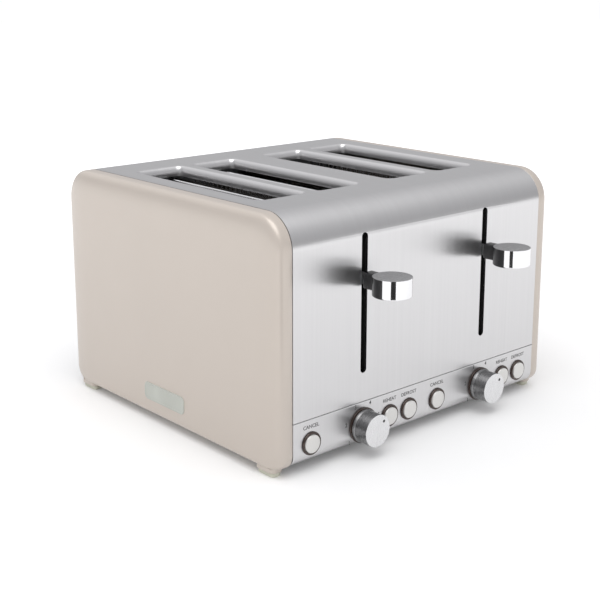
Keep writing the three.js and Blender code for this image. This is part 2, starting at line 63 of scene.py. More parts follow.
# Planes that the pieces are built from, read from the frame.
FRONT_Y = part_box("control_panel")[0].y
BACK_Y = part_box("rear_panel")[1].y
TOP_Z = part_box("steel_skin")[1].z
SKIRT_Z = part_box("base_plate")[0].z
STRIP_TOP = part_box("control_panel")[1].z
SKIN_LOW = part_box("steel_skin")[0].z
SEAM_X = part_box("end_cap_right")[0].x
HALF_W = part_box("end_cap_right")[1].x
SKIN_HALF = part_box("steel_skin")[1].x
MIDDLE_Y = (FRONT_Y + BACK_Y) / 2


def spans(node):
    """Low corner, high corner and middle of a CAD node."""
    low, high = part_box(node)
    return low, high, (low + high) / 2


def middle(node):
    return spans(node)[2]


PAIR_X = middle("dial_right").x
CONTROL_Z = middle("dial_right").z
SLOT_NODES = ["left_outer", "left_inner", "right_inner", "right_outer"]
SLOT_X = [middle("bread_guard_" + name).x for name in SLOT_NODES]
SIDES = ["left", "right"]
BUTTONS = ["cancel", "reheat", "defrost"]
BOARDS = ["outer", "middle", "inner"]
CAP_SQUARE = 6  # how squarely a cap turns: 2 is an ellipse, more is squarer


# ---- sizes and colours ----------------------------------------------------
def length(name, default_mm, description):
    return FloatProperty(name=name, description=description, default=default_mm * MM,
                         min=0.0, unit="LENGTH", subtype="DISTANCE")


def colour(name, default, description):
    return FloatVectorProperty(name=name, description=description, default=default,
                               min=0.0, max=1.0, size=3, subtype="COLOR")


class ToasterSizes(bpy.types.PropertyGroup):
    """Sizes of the visible pieces."""
    bend: length("Bend radius", 25, "Outside radius of the bent steel skin")
    sheet: length("Sheet", 1.2, "Thickness of the steel skin")
    strip: length("Strip", 2, "Thickness of the control strip")
    cap_wall: length("Cap wall", 2.6, "Wall thickness of the end caps")
    cap_inset: length("Cap side inset", 27, "Where the flat of a cap starts behind its front")
    cap_top: length("Cap top inset", 20, "Where the flat of a cap starts below its top")
    cap_low: length("Cap low inset", 6, "Where the flat of a cap starts above its underside")
    cap_under: length("Cap underside", 5.6, "Underside of a cap above the worktop")
    cap_corner: length("Cap lower corner", 11, "Lower corners of a cap at the seam")
    strip_bend: length("Strip bend", 9, "Outside radius of the strips' lower bend")
    slot_w: length("Slot width", 41, "Clear width of a bread slot")
    slot_l: length("Slot length", 152, "Clear length of a bread slot")
    slot_r: length("Slot corner", 4, "Corner radius of a bread slot")
    roll_w: length("Roll width", 3.4, "How far the rolled slot edge spreads on the top")
    roll_h: length("Roll height", 6, "How deep the rolled slot edge curves")
    lip: length("Slot lip", 8, "Depth of the turned-down slot edge")
    lever_slot_w: length("Lever slot width", 5.8, "Width of a lever slot")
    lever_slot_low: length("Lever slot low", 61.4, "Lower end of a lever slot above the worktop")
    lever_slot_high: length("Lever slot high", 164, "Upper end of a lever slot above the worktop")
    lever_r: length("Lever knob radius", 13.9, "Radius of a lever knob")
    dial_r: length("Dial radius", 12, "Radius of a browning dial")
    button_r: length("Button radius", 6.6, "Radius of a push button")
    ring_r: length("Ring radius", 8.5, "Outside radius of the ring round a button")
    wire_r: length("Wire radius", 0.8, "Radius of the bread guard wires")
    wire_count: IntProperty(name="Guard wires", description="Upright wires on one side of a guard",
                            default=29, min=4, max=60)
    ribbon_count: IntProperty(name="Ribbon turns", description="Heating ribbon turns on a board",
                              default=14, min=4, max=30)


class ToasterColours(bpy.types.PropertyGroup):
    """Base colours, linear."""
    cap: colour("Cap", (0.57, 0.51, 0.455), "Cream moulded end caps")
    steel: colour("Steel", (0.655, 0.65, 0.655), "Brushed steel skin")
    chrome: colour("Chrome", (0.83, 0.83, 0.84), "Polished levers and dials")
    ring: colour("Ring", (0.045, 0.026, 0.020), "Rings round buttons and dials")
    button: colour("Button", (0.70, 0.69, 0.67), "Push button faces")
    ink: colour("Ink", (0.035, 0.033, 0.033), "Printed words and numerals")
    black: colour("Black plastic", (0.012, 0.012, 0.012), "Rear strip, base and liners")
    foot: colour("Foot", (0.60, 0.60, 0.50), "Feet under the caps")
    plaque: colour("Plaque", (0.50, 0.515, 0.47), "Blank plaque on the left cap")
    floor: colour("Worktop", (0.88, 0.88, 0.88), "Pale plain floor")


def sizes():
    return bpy.context.scene.toaster_sizes


def colours():
    return bpy.context.scene.toaster_colours


# ---- materials ------------------------------------------------------------
class Nodes:
    """Short way to write a node tree."""

    def __init__(self, tree):
        self.tree = tree

    def add(self, kind, settings=None, **inputs):
        node = self.tree.nodes.new(kind)
        for name, value in (settings or {}).items():
            setattr(node, name, value)
        for name, value in inputs.items():
            self.put(node, name.replace("_", " "), value)
        return node

    def put(self, node, name, value):
        socket = node.inputs[int(name)] if name.isdigit() else node.inputs[name]
        if isinstance(value, bpy.types.NodeSocket):
            self.tree.links.new(value, socket)
        else:
            socket.default_value = value

    def ramp(self, fac, stops):
        node = self.add("ShaderNodeValToRGB", Fac=fac)
        ramp = node.color_ramp
        while len(ramp.elements) < len(stops):
            ramp.elements.new(0.5)
        for element, (at, tone) in zip(ramp.elements, stops):
            element.position = at
            element.color = (*tone, 1.0)
        return node.outputs["Color"]

    def place(self, scale=(1, 1, 1)):
        """Object coordinates, scaled along each axis."""
        own = self.add("ShaderNodeTexCoord").outputs["Object"]
        return self.add("ShaderNodeMapping", Vector=own, Scale=scale).outputs["Vector"]

    def noise(self, scale, detail=2.0, rough=0.5):
        """Noise of one scale, or of a scale for each axis."""
        vector, size = (self.place(scale), 1.0) if isinstance(scale, tuple) else (
            self.place(), scale)
        node = self.add("ShaderNodeTexNoise", Vector=vector, Scale=size, Detail=detail,
                        Roughness=rough)
        return node.outputs["Fac"]

    def span(self, value, low, high):
        return self.add("ShaderNodeMapRange", Value=value, To_Min=low,
                        To_Max=high).outputs["Result"]

    def math(self, operation, a, b):
        node = self.add("ShaderNodeMath", {"operation": operation})
        self.put(node, "0", a)
        self.put(node, "1", b)
        return node.outputs[0]

    def bump(self, height, strength, distance):
        node = self.add("ShaderNodeBump", Height=height, Strength=strength, Distance=distance)
        return node.outputs["Normal"]


def finish(name, base, rough=0.5, metal=0.0, **extra):
    """A material with its Principled shader; constants are set on its sockets."""
    material = bpy.data.materials.new(name)
    material.use_nodes = True
    shader = material.node_tree.nodes["Principled BSDF"]
    given = {"Base Color": (*base, 1.0), "Roughness": rough, "Metallic": metal, **extra}
    for socket, value in given.items():
        shader.inputs[socket.replace("_", " ")].default_value = value
    return material, shader, Nodes(material.node_tree)


def tint(nodes, shader, fac, base, spread):
    """Base colour that drifts by a small share either way."""
    dark = tuple(c * (1 - spread) for c in base)
    light = tuple(min(c * (1 + spread), 1.0) for c in base)
    nodes.put(shader, "Base Color", nodes.ramp(fac, [(0.25, dark), (0.75, light)]))


def grained(name, base, rough, metal, drift, gloss=None, relief=None, **extra):
    """A finish with noise in its colour (noise, spread), its roughness (noise, low, high) and
    its surface (noise, strength, distance)."""
    base = tuple(base)
    material, shader, n = finish(name, base, rough, metal, **extra)
    tint(n, shader, n.noise(*drift[0]), base, drift[1])
    if gloss:
        n.put(shader, "Roughness", n.span(n.noise(*gloss[0]), *gloss[1:]))
    if relief:
        n.put(shader, "Normal", n.bump(n.noise(*relief[0]), *relief[1:]))
    return material


def brushed_steel():
    """Steel with fine straight grain across X, and broader streaks in its colour."""
    base, rough = tuple(colours().steel), 0.30
    across = (2600, 14, 14)
    material, shader, n = finish("steel_brushed", base, rough, 1.0, Anisotropic=0.75)
    grain = n.noise(across, 3.0, 0.65)
    broad = n.noise(tuple(s * 0.12 for s in across), 2.0)
    mixed = n.math("MULTIPLY", n.math("ADD", grain, broad), 0.5)
    tint(n, shader, mixed, base, 0.035)
    n.put(shader, "Roughness", n.span(mixed, rough * 0.9, rough * 1.12))
    n.put(shader, "Normal", n.bump(grain, 0.12, 0.00002))
    tangent = n.add("ShaderNodeTangent", {"direction_type": "UV_MAP", "uv_map": "grain"})
    n.put(shader, "Tangent", tangent.outputs["Tangent"])
    return material


def spun_chrome(name, axis, tone):
    """Finely brushed metal of a given tone; axis holds the grain's scale along X, Y and Z."""
    grain = (axis, 3.0, 0.6)
    return grained(name, (tone, tone, tone * 1.01), 0.26, 1.0, (grain, 0.05), (grain, 0.2, 0.34),
                   (grain, 0.2, 0.00002))


def plastic(name, base, rough=0.5, grain=900, depth=0.3):
    return grained(name, base, rough, 0.0, ((40,), 0.08),
                   ((grain * 0.3,), rough * 0.85, rough * 1.2), ((grain, 3), depth, 0.00006))


def zinc_sheet():
    base = (0.40, 0.41, 0.42)
    material, shader, n = finish("galvanised", base, 0.38, 0.9)
    flake = n.add("ShaderNodeTexVoronoi", Vector=n.place(), Scale=160.0)
    tint(n, shader, flake.outputs["Color"], base, 0.12)
    n.put(shader, "Roughness", n.span(n.noise(220, 3), 0.3, 0.5))
    n.put(shader, "Normal", n.bump(flake.outputs["Distance"], 0.1, 0.00003))
    return material


def mica_sheet_with_painted_shade():
    flakes = (220, 5, 0.7)
    # mica's own brownish tone darkened to near black, painted shade for the dark insides of the
    # slots
    return grained("mica", (0.05, 0.042, 0.034), 0.55, 0.0, (flakes, 0.35),
                   (flakes, 0.35, 0.75), (flakes, 0.3, 0.0001))


def circuit_lacquer():
    base = (0.02, 0.12, 0.05)
    material, shader, n = finish("circuit", base, 0.35, 0.0, Coat_Weight=0.5)
    tracks = n.add("ShaderNodeTexBrick", Vector=n.place(), Scale=150.0, Mortar_Size=0.03,
                   Color1=(*base, 1), Color2=(0.015, 0.09, 0.04, 1), Mortar=(0.05, 0.22, 0.09, 1))
    n.put(shader, "Base Color", tracks.outputs["Color"])
    return material


def wound_copper():
    base = (0.42, 0.13, 0.05)
    material, shader, n = finish("copper", base, 0.3, 0.8)
    turns = n.add("ShaderNodeTexWave", {"bands_direction": "Z"}, Vector=n.place(),
                  Scale=320.0)
    tint(n, shader, turns.outputs["Fac"], base, 0.3)
    n.put(shader, "Normal", n.bump(turns.outputs["Fac"], 0.6, 0.0002))
    return material


def worktop():
    base = tuple(colours().floor)
    material, shader, n = finish("worktop", base, 0.65, Emission_Color=(1, 1, 1, 1))
    tint(n, shader, n.noise(3, 2), base, 0.004)
    reach = n.add("ShaderNodeVectorMath", {"operation": "LENGTH"})
    n.put(reach, "0", n.place())
    glow = n.add("ShaderNodeMapRange", Value=reach.outputs["Value"], From_Min=0.22, From_Max=1.2,
                 To_Min=0.1, To_Max=0.5)
    n.put(shader, "Emission Strength", glow.outputs["Result"])
    return material


MAKERS = {
    "steel": brushed_steel,
    "cap": lambda: grained("cap_cream", colours().cap, 0.36, 0.3, ((9,), 0.012),
                           ((60, 3), 0.32, 0.42), ((1600,), 0.12, 0.00004), Coat_Weight=0.25,
                           Coat_Roughness=0.28, Specular_IOR_Level=0.5),
    "chrome": lambda: grained("chrome", colours().chrome, 0.07, 1.0, ((30,), 0.02),
                              (((400, 400, 900), 4, 0.6), 0.05, 0.12)),
    "knob_top": lambda: spun_chrome("knob_top", (60, 2400, 60), 0.60),
    "dial_face": lambda: spun_chrome("dial_face", (2400, 60, 60), 0.74),
    # the dials' side walls: metal darkened to a tone of 0.26, a painted dark reflection
    "dial_wall_painted_reflection": lambda: spun_chrome("dial_wall_painted_reflection", (60, 900, 60), 0.26),
    # near-black gloss for the lever necks, also laid on the rear of each knob's chrome wall as a
    # painted dark reflection
    "knob_back": lambda: plastic("knob_back", (0.012, 0.012, 0.013), 0.2, 900, 0.05),
    "ring": lambda: grained("bronze", colours().ring, 0.28, 0.35, ((400, 3), 0.25),
                            ((900,), 0.22, 0.36), Coat_Weight=0.4, Coat_Roughness=0.12),
    "button": lambda: grained("button_face", colours().button, 0.3, 0.55, ((2500,), 0.05),
                              ((300,), 0.255, 0.36), Coat_Weight=0.3, Coat_Roughness=0.15),
    "plaque": lambda: plastic("plaque", colours().plaque, 0.34, 600, 0.1),
    "black": lambda: plastic("black_plastic", colours().black),
    "liner": lambda: plastic("liner", (0.004, 0.004, 0.004), 0.7),
    "foot": lambda: plastic("foot", colours().foot, 0.6, 700, 0.2),
    "zinc": zinc_sheet,
    "wire": lambda: grained("wire_steel", (0.72, 0.72, 0.73), 0.24, 1.0, ((120,), 0.08),
                            ((700, 3), 0.16, 0.34)),
    "mica": mica_sheet_with_painted_shade,
    "ribbon": lambda: grained("ribbon", (0.30, 0.28, 0.27), 0.4, 0.9, ((300, 3), 0.3),
                              ((500,), 0.3, 0.55)),
    "circuit": circuit_lacquer,
    "copper": wound_copper,
    "ink": lambda: grained("ink", colours().ink, 0.5, 0.0, ((1500,), 0.3)),
    "worktop": worktop,
}
_made = {}


def material(key):
    if key not in _made:
        _made[key] = MAKERS[key]()
    return _made[key]


# ---- mesh tools -----------------------------------------------------------
def link(name, data):
    """A new object in the scene."""
    obj = bpy.data.objects.new(name, data)
    bpy.context.scene.collection.objects.link(obj)
    return obj


def to_mesh(name, bm):
    """A new mesh from a bmesh, which is then freed."""
    mesh = bpy.data.meshes.new(name)
    bm.to_mesh(mesh)
    bm.free()
    return mesh


def absorb(bm, mesh):
    """Adds a mesh to a bmesh and removes it."""
    bm.from_mesh(mesh)
    bpy.data.meshes.remove(mesh)


def fill(bm, verts, faces):
    """Adds a skin to a bmesh and leaves out faces that fall on one already there."""
    made = [bm.verts.new(v) for v in verts]
    for face in faces:
        try:
            bm.faces.new([made[i] for i in face])
        except ValueError:
            continue


def corner_loop(u0, v0, u1, v1, radii, segments=12):
    """Rounded rectangle, counter-clockwise; radii low-left, low-right, high-right, high-left."""
    a, b, c, d = radii if isinstance(radii, (tuple, list)) else (radii,) * 4
    loop = []
    for cu, cv, r, start in ((u1 - b, v0 + b, b, -90), (u1 - c, v1 - c, c, 0),
                             (u0 + d, v1 - d, d, 90), (u0 + a, v0 + a, a, 180)):
        for i in range(segments + 1):
            turn = math.radians(start + 90 * i / segments)
            loop.append((cu + r * math.cos(turn), cv + r * math.sin(turn)))
    return loop


def circle_loop(u, v, r, count=48):
    return [(u + r * math.cos(math.tau * i / count), v + r * math.sin(math.tau * i / count))
            for i in range(count)]


def quarter(steps, first=0):
    """Angles of a quarter turn, from step first to the last."""
    return [math.pi / 2 * i / steps for i in range(first, steps + 1)]


def soften(profile, radius, steps=5):
    """Rounds the inner corners of an open profile and keeps its flats flat beside each arc."""
    out = [Vector(profile[0])]
    for before, here, after in zip(profile, profile[1:], profile[2:]):
        p, q, s = Vector(before), Vector(here), Vector(after)
        r = min(radius, (p - q).length * 0.42, (s - q).length * 0.42)
        start = q + (p - q).normalized() * r
        end = q + (s - q).normalized() * r
        out.append(start + (p - q).normalized() * r * 0.2)
        for i in range(steps + 1):
            t = i / steps
            out.append(start * (1 - t) ** 2 + q * 2 * t * (1 - t) + end * t ** 2)
        out.append(end + (s - q).normalized() * r * 0.2)
    out.append(Vector(profile[-1]))
    return out


def bridge(rings, close_first=False, close_last=False, wrap=False):
    """Vertices and faces of a skin over rings of equal length."""
    verts = [v for ring in rings for v in ring]
    count = len(rings[0])
    faces = []
    levels = len(rings) if wrap else len(rings) - 1
    for level in range(levels):
        for i in range(count):
            j = (i + 1) % count
            a, b = level * count, ((level + 1) % len(rings)) * count
            faces.append((a + i, a + j, b + j, b + i))
    if close_first:
        faces.append(tuple(range(count - 1, -1, -1)))
    if close_last:
        last = (len(rings) - 1) * count
        faces.append(tuple(range(last, last + count)))
    return verts, faces


def lathe(profile, place, count=64, closed=False):
    """Turns (radius, height) points round an axis; place(x, y, height) gives the position."""
    rings = [[place(u, v, h) for u, v in circle_loop(0, 0, max(r, 1e-7), count)]
             for r, h in profile]
    return bridge(rings, not closed, not closed, wrap=closed)


def rounded_block(low, high, radius, segments=3):
    """Vertices and faces of a box with rounded edges."""
    bm = bmesh.new()
    bmesh.ops.create_cube(bm, size=1.0)
    size = Vector(high) - Vector(low)
    mid = (Vector(high) + Vector(low)) / 2
    for v in bm.verts:
        v.co = Vector((v.co.x * size.x, v.co.y * size.y, v.co.z * size.z)) + mid
    bmesh.ops.bevel(bm, geom=bm.edges[:], offset=radius, segments=segments, profile=0.5,
                    affect="EDGES")
    bm.verts.index_update()
    made = [v.co.copy() for v in bm.verts], [tuple(v.index for v in f.verts) for f in bm.faces]
    bm.free()
    return made


def piece(name, parts, body, replaces=(), sharp=32):
    """One object from (verts, faces, material key) parts, riding on a CAD body."""
    bm = bmesh.new()
    keys = []
    for verts, faces, key in parts:
        if key not in keys:
            keys.append(key)
        part = bmesh.new()
        fill(part, verts, faces)
        bmesh.ops.remove_doubles(part, verts=part.verts[:], dist=WELD)
        bmesh.ops.recalc_face_normals(part, faces=part.faces[:])
        for face in part.faces:
            face.material_index = keys.index(key)
        absorb(bm, to_mesh("part", part))
    mesh = to_mesh(name, bm)
    for key in keys:
        mesh.materials.append(material(key))
    return settle(name, mesh, body, replaces, sharp)


def dressed(mesh, key):
    """The mesh with one material in place of any it had."""
    mesh.materials.clear()
    mesh.materials.append(material(key))
    return mesh


def settle(name, mesh, body, replaces=(), sharp=32):
    mesh.shade_smooth()
    mesh.set_sharp_from_angle(angle=math.radians(sharp))
    obj = link(name, mesh)
    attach(obj, body)
    if replaces:
        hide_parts(*replaces)
    return obj


def grain_map(mesh):
    """UV map with U along X, so that the brushed grain knows its direction."""
    layer = mesh.uv_layers.new(name="grain")
    for loop in mesh.loops:
        co = mesh.vertices[loop.vertex_index].co
        layer.data[loop.index].uv = (co.x * 4, (co.y - co.z) * 4)


def paint(key, *names):
    """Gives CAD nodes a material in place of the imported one."""
    for name in names:
        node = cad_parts[name]
        for slot in node.material_slots:
            slot.link = "OBJECT"
            slot.material = material(key)


class Sheet:
    """Open sheet of flats with holes and bent bands, thickened inwards at the end."""

    def __init__(self):
        self.bm = bmesh.new()

    def loop(self, points):
        return [self.bm.verts.new(p) for p in points]

    def rows(self, y, inward, steps):
        """Lines across the sheet, at (depth, height) steps behind the face at y."""
        return [self.loop([(x, y + inward * depth, z) for x in (-SKIN_HALF, SKIN_HALF)])
                for depth, z in steps]

    def flat(self, outer, holes):
        edges = []
        for ring in [outer, *holes]:
            for a, b in zip(ring, ring[1:] + ring[:1]):
                edges.append(self.bm.edges.get((a, b)) or self.bm.edges.new((a, b)))
        bmesh.ops.triangle_fill(self.bm, use_beauty=True, use_dissolve=False, edges=edges)

    def band(self, rings, around=False):
        for a, b in zip(rings, rings[1:]):
            last = len(a) if around else len(a) - 1
            for i in range(last):
                j = (i + 1) % len(a)
                self.bm.faces.new((a[i], a[j], b[j], b[i]))

    def thickened(self, name, thickness, up):
        """Merges, turns the outside towards up at the highest face, and gives it a wall."""
        bm = self.bm
        bmesh.ops.remove_doubles(bm, verts=bm.verts[:], dist=WELD)
        bmesh.ops.recalc_face_normals(bm, faces=bm.faces[:])
        marked = max(bm.faces, key=lambda f: f.calc_center_median().dot(up) + f.calc_area())
        if marked.normal.dot(up) < 0:
            bmesh.ops.reverse_faces(bm, faces=bm.faces[:])
        obj = link(name + "_sheet", to_mesh(name, bm))
        solid = obj.modifiers.new("wall", "SOLIDIFY")
        solid.thickness = thickness
        solid.offset = -1.0
        solid.use_even_offset = True
        return plain(obj, name)


def plain(obj, name):
    """The evaluated mesh of an object, which is then removed."""
    bpy.context.view_layer.update()
    graph = bpy.context.evaluated_depsgraph_get()
    mesh = bpy.data.meshes.new_from_object(obj.evaluated_get(graph))
    mesh.name = name
    bpy.data.objects.remove(obj)
    return mesh


# ---- geometry nodes -------------------------------------------------------
def row_tree(name, shape):
    """Node tree that repeats a wire, a bar or a screw along a straight line."""
    tree = bpy.data.node_groups.new(name, "GeometryNodeTree")
    face = tree.interface
    for label, kind in (("Count", "NodeSocketInt"), ("First", "NodeSocketVector"),
                        ("Step", "NodeSocketVector"), ("Size", "NodeSocketVector"),
                        ("Turn", "NodeSocketVector"), ("Finish", "NodeSocketMaterial")):
        face.new_socket(name=label, in_out="INPUT", socket_type=kind)
    face.new_socket(name="Geometry", in_out="OUTPUT", socket_type="NodeSocketGeometry")
    n = Nodes(tree)
    given = n.add("NodeGroupInput").outputs
    line = n.add("GeometryNodeMeshLine", {"mode": "OFFSET"}, Count=given["Count"],
                 Start_Location=given["First"], Offset=given["Step"])
    if shape == "wire":
        base = n.add("GeometryNodeMeshCylinder", Vertices=10, Radius=1.0, Depth=1.0)
    elif shape == "screw":
        base = n.add("GeometryNodeMeshUVSphere", Segments=20, Rings=10, Radius=1.0)
    else:
        base = n.add("GeometryNodeMeshCube")
    copies = n.add("GeometryNodeInstanceOnPoints", Points=line.outputs["Mesh"],
                   Instance=base.outputs["Mesh"], Rotation=given["Turn"], Scale=given["Size"])
    real = n.add("GeometryNodeRealizeInstances", Geometry=copies.outputs["Instances"])
    dressed = n.add("GeometryNodeSetMaterial", Geometry=real.outputs["Geometry"],
                    Material=given["Finish"])
    out = n.add("NodeGroupOutput")
    tree.links.new(dressed.outputs["Geometry"], out.inputs["Geometry"])
    return tree


def grow(name, tree, inputs):
    """Runs a node tree on an empty mesh and returns the plain mesh."""
    obj = link(name, bpy.data.meshes.new(name))
    modifier = obj.modifiers.new("grow", "NODES")
    modifier.node_group = tree
    ids = {i.name: i.identifier for i in tree.interface.items_tree
           if i.item_type == "SOCKET" and i.in_out == "INPUT"}
    for label, value in inputs.items():
        modifier[ids[label]] = value
    return plain(obj, name)


def rows(name, shape, lines, key, body, replaces=(), extra=()):
    """One object from several repeated lines (count, first, step, size, turn)."""
    tree = bpy.data.node_groups.get("row_of_" + shape) or row_tree("row_of_" + shape, shape)
    bm = bmesh.new()
    for count, first, step, size, turn in lines:
        absorb(bm, grow(name + "_row", tree, {
            "Count": count, "First": first, "Step": step, "Size": size, "Turn": turn,
            "Finish": material(key)}))
    for verts, faces in extra:
        fill(bm, verts, faces)
    return settle(name, dressed(to_mesh(name, bm), key), body, replaces)


# ---- outside --------------------------------------------------------------
class TOASTER_OT_stage(bpy.types.Operator):
    """Add the worktop, the soft studio light and the camera"""
    bl_idname = "toaster.stage"
    bl_label = "Stage"

    def execute(self, context):
        self.camera(context.scene)
        self.worktop()
        self.world(context.scene)
        self.dark_card((-0.27, -0.38), 0.16, 0.11)
        self.lamp("key", (-0.7, -0.7, 2.4), (0, 0, 0.05), 2.6, 35)
        self.lamp("back", (-0.45, 1.9, 1.7), (0, 0, 0.1), 2.6, 5)
        context.scene.view_settings.view_transform = "Standard"
        return {"FINISHED"}

    def camera(self, scene):
        camera = link("camera", bpy.data.cameras.new("camera"))
        yaw, pitch = 0.725, 0.231
        ahead = Vector((math.sin(yaw) * math.cos(pitch), math.cos(yaw) * math.cos(pitch),
                        -math.sin(pitch)))
        camera.location = (-0.6177, -0.6709, 0.3428)
        camera.rotation_euler = ahead.to_track_quat("-Z", "Y").to_euler()
        camera.data.lens = 69.58
        camera.data.shift_y = -0.1
        camera.data.sensor_width = 36
        scene.camera = camera

    def worktop(self):
        mesh = bpy.data.meshes.new("worktop")
        mesh.from_pydata([(-6, -6, 0), (6, -6, 0), (6, 6, 0), (-6, 6, 0)], [], [(0, 1, 2, 3)])
        link("worktop", dressed(mesh, "worktop"))

    def dark_card(self, place, width, height):
        """Black card in front of the toaster, seen only as the dark line in the chrome knobs."""
        x, y = place
        along = Vector((-y, x)).normalized() * width / 2
        mesh = bpy.data.meshes.new("dark_card")
        corners = ((-1, 0.001), (1, 0.001), (1, height), (-1, height))
        mesh.from_pydata([(x + k * along.x, y + k * along.y, z) for k, z in corners], [],
                         [(0, 1, 2, 3)])
        card = link("dark_card", dressed(mesh, "liner"))
        for ray in ("camera", "diffuse", "shadow"):
            setattr(card, "visible_" + ray, False)

    def world(self, scene):
        """White to the camera, pale grey round the horizon and brighter overhead."""
        world = bpy.data.worlds.new("studio")
        scene.world = world
        world.use_nodes = True
        tree = world.node_tree
        n = Nodes(tree)
        sky = tree.nodes["Background"]
        way = n.add("ShaderNodeTexCoord").outputs["Generated"]
        parts = n.add("ShaderNodeSeparateXYZ", Vector=way).outputs
        height = n.ramp(n.span(parts["Z"], 0.5, 1.0),
                        [(0.5, (0.80, 0.80, 0.81)), (0.62, (0.86, 0.86, 0.88)),
                         (1.0, (1.3, 1.3, 1.32))])
        seen = n.add("ShaderNodeLightPath").outputs["Is Camera Ray"]
        pick = n.add("ShaderNodeMix", {"data_type": "RGBA"})
        n.tree.links.new(seen, pick.inputs["Factor"])
        n.tree.links.new(height, pick.inputs[6])
        pick.inputs[7].default_value = (1.6, 1.6, 1.6, 1.0)
        n.put(sky, "Color", pick.outputs[2])
        sky.inputs["Strength"].default_value = 0.63

    def lamp(self, name, place, aim, size, power):
        light = bpy.data.lights.new(name, "AREA")
        light.shape = "DISK"
        light.size = size
        light.energy = power
        obj = link(name, light)
        obj.location = place
        obj.rotation_euler = (Vector(aim) - Vector(place)).to_track_quat("-Z", "Y").to_euler()


def cap_rings(wall, steps=30):
    """Rings of one cap face from the seam to the flat, at x = distance from the seam."""
    s = sizes()
    band = HALF_W - SEAM_X - wall
    rings = []
    for i in range(steps + 1):
        share = (i / steps) ** 2
        reach = band * (1 - (1 - share) ** 2) ** (1 / CAP_SQUARE)
        side = wall + (s.cap_inset - wall) * share
        top = wall + (s.cap_top - wall) * share
        low = wall + (s.cap_low - wall) * share
        corners = [max(seam - wall + (face * MM - seam) * share, 1.2 * MM) for seam, face in (
            (s.cap_corner, 6), (s.cap_corner, 16), (s.bend, 8), (s.bend, 8))]
        rings.append((reach, corner_loop(
            FRONT_Y + side, s.cap_under + low, BACK_Y - side, TOP_Z - top, corners)))
    x, flat = rings[-1]
    mid_z = (SKIRT_Z + TOP_Z) / 2
    rings.append((x, [(MIDDLE_Y + (u - MIDDLE_Y) * 0.99, mid_z + (v - mid_z) * 0.99)
                      for u, v in flat]))
    return rings


def foot_stack(row, side, steps):
    """Skin over the outlines of a foot, grown and raised by each (growth, height) step."""
    low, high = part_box(f"foot_{row}_{side}")
    rings = []
    for grow, z in steps:
        outline = corner_loop(low.x - grow, low.y - grow, high.x + grow, high.y + grow,
                              3.5 * MM + grow, 10)
        rings.append([Vector((u, v, z)) for u, v in outline])
    return bridge(rings, True, True)


class TOASTER_OT_end_caps(bpy.types.Operator):
    """Add the two moulded end caps with their smoothly rounded edges"""
    bl_idname = "toaster.end_caps"
    bl_label = "End caps"

    def execute(self, context):
        for side, sign in (("left", -1), ("right", 1)):
            outer = cap_rings(0.0)
            inner = cap_rings(sizes().cap_wall)
            rim_x, rim = outer[0]
            lip = (rim_x, [(u + (MIDDLE_Y - u) * 0.0018, v + (0.09 - v) * 0.0035)
                           for u, v in rim])
            rings = [[Vector((sign * (SEAM_X + x), u, v)) for u, v in ring]
                     for x, ring in [*reversed(inner), lip, (0.35 * MM, rim), *outer[1:]]]
            parts = [(*bridge(rings, True, True), "cap")]
            parts += [(*self.seat(row, side), "cap") for row in ("front", "back")]
            piece(f"cap_{side}", parts, "body", [f"end_cap_{side}"], sharp=40)
        return {"FINISHED"}

    def seat(self, row, side):
        """Boss under a cap that holds a foot."""
        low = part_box(f"end_cap_{side}")[0].z
        return foot_stack(row, side, [((1 - inset) * MM, low + z * MM) for inset, z in (
            (2.0, 0), (0.5, 0), (0.15, 0.15), (0, 0.5), (0, 3.4))])


